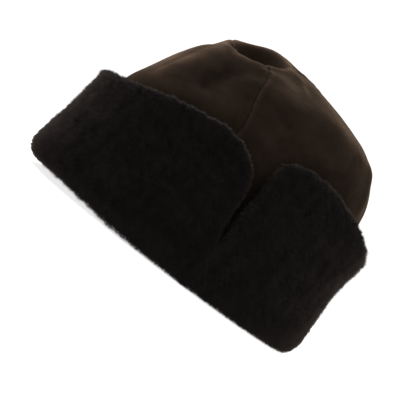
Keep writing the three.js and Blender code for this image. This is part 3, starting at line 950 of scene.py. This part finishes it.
# %% Grow the locks
def grow_locks(name, place, normal, faces, kind, material, draw):
    """One piece of locks of this kind at these places, lit as the coat faces there."""
    direction = lock_directions(place, normal, kind["nap_down"], kind["clump"], draw)
    reach, width = lock_sizes(place, normal, kind["length"], kind["width"], kind["clump"], draw)
    vertices, middles = spikes(place, normal, direction, reach, width, draw)
    mesh = spike_mesh(name, vertices)
    near_tip = np.tile([0.0] * LOCK_SIDES + [1.0], len(place))
    mesh.attributes.new("near_tip", "FLOAT", "POINT").data.foreach_set("value", near_tip)
    lock_shade = np.repeat(lock_shades(place, normal, draw), LOCK_CORNERS)
    mesh.attributes.new("lock_shade", "FLOAT", "POINT").data.foreach_set("value", lock_shade)
    mesh.materials.append(material)
    own = vertices - np.repeat(middles, LOCK_CORNERS, axis=0)
    own /= np.maximum(np.linalg.norm(own, axis=1), TINY)[:, None]
    facing = unit(np.repeat(faces, LOCK_CORNERS, axis=0) + OWN_FACING * own)
    piece = bpy.data.objects.new(name, mesh)
    bpy.context.collection.objects.link(piece)
    select_only(piece)
    bpy.ops.object.shade_smooth()
    mesh.normals_split_custom_set_from_vertices(facing)
    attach(piece, "root")
    print(name, len(place), "locks,", len(mesh.polygons), "triangles")
    return piece


# %% [markdown]
# The cuff's coats
#
# The outside of the cuff is what is looked at most, so its locks are the finest and closest. The places on
# each hide are sorted into the coat that shows and the lining inside the hat, which needs far fewer. One
# mesh could hold a whole coat, but a long one is cut by its turn round the hat, which keeps each mesh
# under 200,000 triangles. Beside the joint the coat faces straight out, so the joint takes light as one
# surface.

# %% Locks on the cuff
FLAP_LOCKS = {"length": 3.5, "width": 0.39, "clump": 3.2, "nap_down": 0.35}
LOCKS_PER_MM2 = 2.2
LINING_PER_MM2 = 0.42
MOST_LOCKS = 66000  # in one piece, which keeps each mesh under 200,000 triangles
LOOKS_IN = -0.3  # faces that look out less than this look into the hat
WITHIN_RIM = -4  # and lie this far inside the rim's oval
LINING_TOP = SEAM_TOP + 2
BESIDE_JOINT = (5, 17)  # from the other piece: the coat faces straight out, and as it does elsewhere
STRAIGHT_OUT = 0.85


def outer_and_inner(hide, draw):
    """The wool's places on a cuff piece: those seen outside and at the rim, and those inside the hat."""
    samples = skin_samples(hide, CUFF_WOOL, LOCKS_PER_MM2, draw)
    place, normal, _ = samples
    inside = (facing_out(place, normal) < LOOKS_IN) & (out_from_rim(place) < WITHIN_RIM)
    inside &= place[:, 2] < LINING_TOP
    keep = draw.random(len(place)) < LINING_PER_MM2 / LOCKS_PER_MM2
    return [part[~inside] for part in samples], [part[inside & keep] for part in samples]


def grow_coat(name, place, normal, faces, other_name, counted_from, draw):
    """The flap's coat, cut by its turn round the hat, which is counted from where this flap isn't."""
    radial = unit(place * [1, 1, 0] - [0, RIM_MIDDLE_Y, 0])
    to_other, _ = way_to_other(place, other_name)
    joined = 1 - smooth_step(to_other, *BESIDE_JOINT)
    faces = faces + (radial - faces) * STRAIGHT_OUT * joined[:, None]
    azimuth = np.arctan2(place[:, 0], -place[:, 1]) % (2 * math.pi)
    order = np.argsort((azimuth + counted_from) % (2 * math.pi))
    parts = math.ceil(len(place) / MOST_LOCKS)
    for number, chosen in enumerate(np.array_split(order, parts), 1):
        samples = place[chosen], normal[chosen], faces[chosen]
        grow_locks(f"{name}_{number}", *samples, FLAP_LOCKS, locks_material, draw)


front_draw = np.random.default_rng(101)
front_outer, front_inner = outer_and_inner(front_hide, front_draw)
ear_draw = np.random.default_rng(102)
ear_outer, ear_inner = outer_and_inner(ear_hide, ear_draw)
grow_coat("front_coat", *front_outer, "ear_and_nape_flap", math.pi, front_draw)
grow_coat("ear_coat", *ear_outer, "front_flap", 0, ear_draw)

# %% [markdown]
# The wool inside
#
# Inside the hat the same wool lines the body wall and the crown. A bump on the skin could stand for it, but
# it is seen from below, edge on, where only real locks look soft. Fewer and thicker ones are enough there.

# %% Locks inside the hat
LINING_LOCKS = {"length": 3.6, "width": 0.7, "clump": 4, "nap_down": 0.2}

crown_draw = np.random.default_rng(103)
crown_places = [skin_samples(piece, GORE_WOOL, LINING_PER_MM2, crown_draw) for piece in gore_pieces]
crown_inner = [np.concatenate(parts) for parts in zip(*crown_places)]

grow_locks("front_lining", *front_inner, LINING_LOCKS, lining_material, front_draw)
grow_locks("ear_lining", *ear_inner, LINING_LOCKS, lining_material, ear_draw)
grow_locks("crown_lining", *crown_inner, LINING_LOCKS, lining_material, crown_draw)

# %% [markdown]
# Floor, light and surroundings
#
# The photo has a white ground all round and hardly a shadow, with one large soft light above the hat and a
# little behind it. A plain white floor would show the hat's shadow, so this one glows, as a light table
# does. With a white surround it gives the same light as in the photo: the edges and folds of the hat shine
# a little, and the faces that look at the camera stay dark.

# %% Floor
FLOOR_SIZE = 30000
FLOOR_GLOW = 0.8

bpy.ops.object.select_all(action="DESELECT")
bpy.ops.mesh.primitive_plane_add(size=FLOOR_SIZE * MM, location=(0, 0, 0))
floor = bpy.context.object
floor.name = "floor"
floor_material, floor_tree = new_material("matt white light table")
floor_surface = add_node(
    floor_tree,
    "BsdfPrincipled",
    {
        "Base Color": light_value("#b4b4b3"),
        "Roughness": 1.0,
        "Specular IOR Level": 0.0,
        "Emission Color": light_value("#ffffff"),
        "Emission Strength": FLOOR_GLOW,
    },
)
add_node(floor_tree, "OutputMaterial", {"Surface": floor_surface.outputs["BSDF"]})
floor.data.materials.append(floor_material)
print("floor:", FLOOR_SIZE * MM, "m wide")

# %% Light and surroundings
LIGHT_SIZE = 900
LIGHT_DISTANCE = 1300
LIGHT_POWER = 32
LIGHT_PLACE = {"right": 0, "up": 0.9, "behind": 0.38}  # as seen in the picture, from the hat
SIDE_POWER = 24
SIDE_PLACE = {"right": 0.85, "up": 0.3, "behind": 0.4}
SURROUND = 1.12

right_in_picture = camera.rotation_quaternion @ Vector((1, 0, 0))
up_in_picture = camera.rotation_quaternion @ Vector((0, 1, 0))


def soft_light(name, place, power):
    """A round soft light that looks at the hat from this place."""
    aside = right_in_picture * place["right"] + up_in_picture * place["up"]
    way = (aside - towards_camera * place["behind"]).normalized()
    lamp = bpy.data.objects.new(name, bpy.data.lights.new(name, "AREA"))
    bpy.context.collection.objects.link(lamp)
    lamp.data.shape = "DISK"
    lamp.data.size = LIGHT_SIZE * MM
    lamp.data.energy = power
    lamp.location = (aim + way * LIGHT_DISTANCE) * MM
    lamp.rotation_mode = "QUATERNION"
    lamp.rotation_quaternion = way.to_track_quat("Z", "Y")
    print(name, power, "W at", [round(v, 2) for v in lamp.location])


soft_light("soft light", LIGHT_PLACE, LIGHT_POWER)
soft_light("weak side light", SIDE_PLACE, SIDE_POWER)

world = bpy.data.worlds.new("white surround")
world.use_nodes = True
world.node_tree.nodes["Background"].inputs["Color"].default_value = (1, 1, 1, 1)
world.node_tree.nodes["Background"].inputs["Strength"].default_value = SURROUND
bpy.context.scene.world = world
bpy.context.scene.view_settings.view_transform = "Standard"
